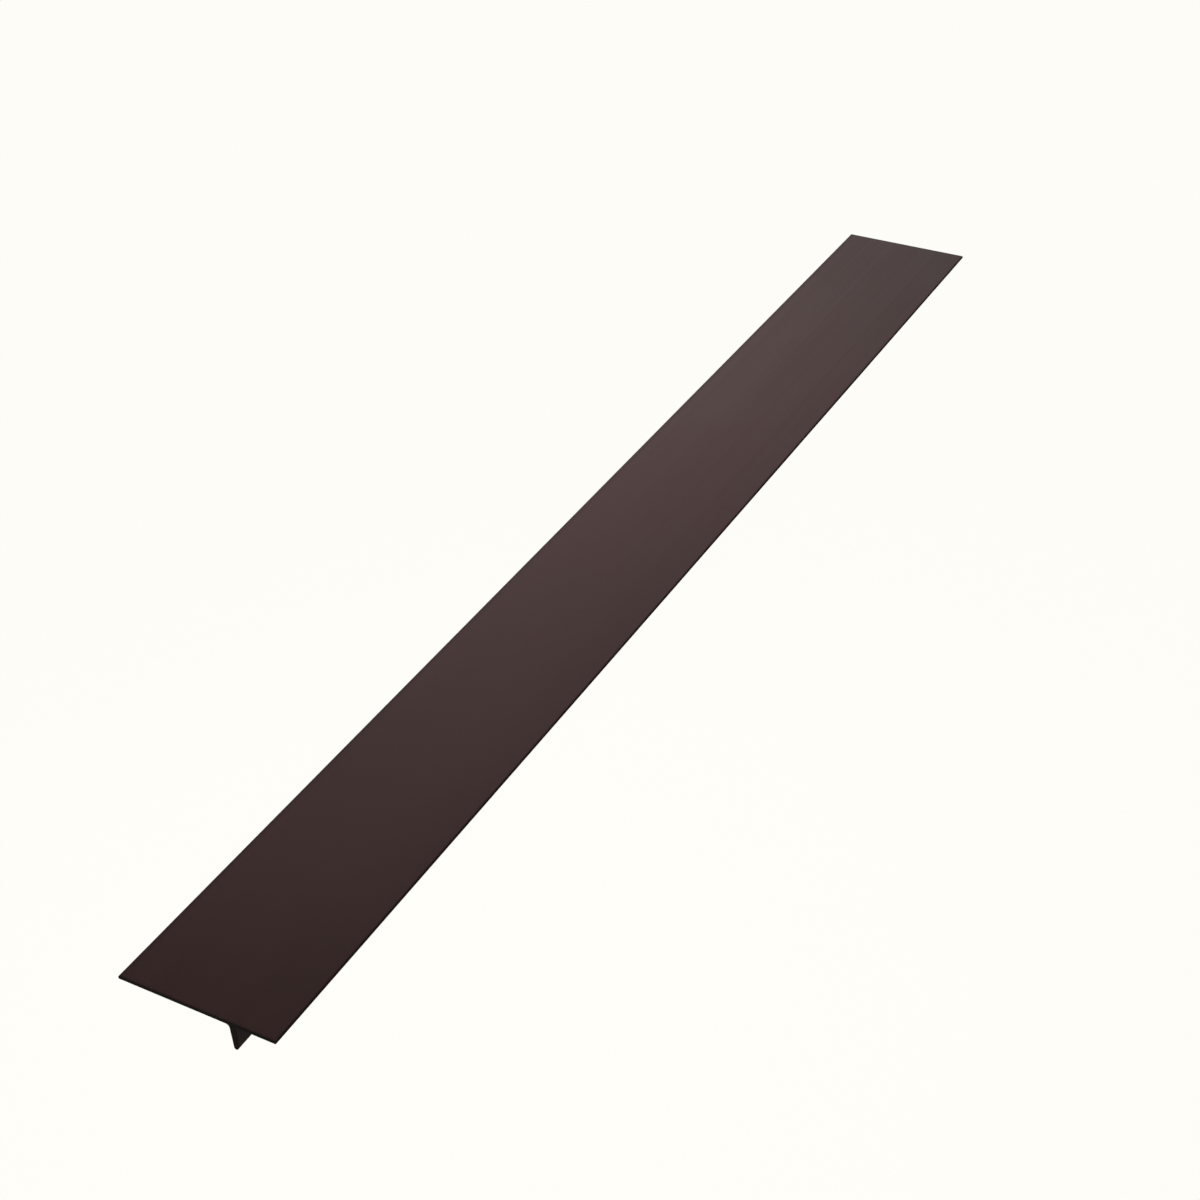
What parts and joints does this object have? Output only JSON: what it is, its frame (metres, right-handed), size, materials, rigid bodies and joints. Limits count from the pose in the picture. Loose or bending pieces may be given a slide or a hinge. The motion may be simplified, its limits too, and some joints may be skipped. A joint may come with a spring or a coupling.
{
  "type": "door sweep",
  "caption": "Long flat self-adhesive door sweep of T section: a wide stiff wing sticks to the door, a soft narrow wing wipes the floor and a soft leg tucks under the door.",
  "frame": {"origin": "middle of the bonded area, on the plane that meets the door's face (the outer face of the release liner)", "axes": "+X across the strip from the wide wing to the floor wiper, +Y along the strip, +Z out of the show face, away from the door"},
  "size_m": [0.055, 0.533, 0.0105],
  "materials": {
    "stiff_plastic": "satin extruded plastic, dark brown",
    "soft_plastic": "satin soft plastic, dark brown",
    "tape_foam": "white closed-cell foam with tacky faces",
    "liner_paper": "glossy release-coated paper, amber"
  },
  "bodies": {
    "strip": {"backing_strip": "stiff_plastic", "leg_root": "stiff_plastic", "adhesive_tape": "tape_foam"},
    "wiper": {"floor_wiper": "soft_plastic"},
    "fin": {"under_door_fin": "soft_plastic"},
    "main_liner": {"liner_main": "liner_paper"},
    "starter_liner": {"liner_starter": "liner_paper"}
  },
  "joints": [
    {"name": "wiper_flex", "type": "hinge", "parent": "strip", "child": "wiper", "pos_m": [0.0265, 0, 0.0014], "axis": [0, -1, 0], "range_deg": [-40, 40], "stiffness_Nm_per_rad": 0.1},
    {"name": "fin_flex", "type": "hinge", "parent": "strip", "child": "fin", "pos_m": [0.022, 0, -0.0017], "axis": [0, -1, 0], "range_deg": [-25, 25], "stiffness_Nm_per_rad": 0.4},
    {"name": "peel_main", "type": "slide", "parent": "strip", "child": "main_liner", "axis": [0, 0, -1], "range_m": [0, 0.06]},
    {"name": "peel_starter", "type": "slide", "parent": "strip", "child": "starter_liner", "axis": [0, 0, -1], "range_m": [0, 0.06]}
  ]
}
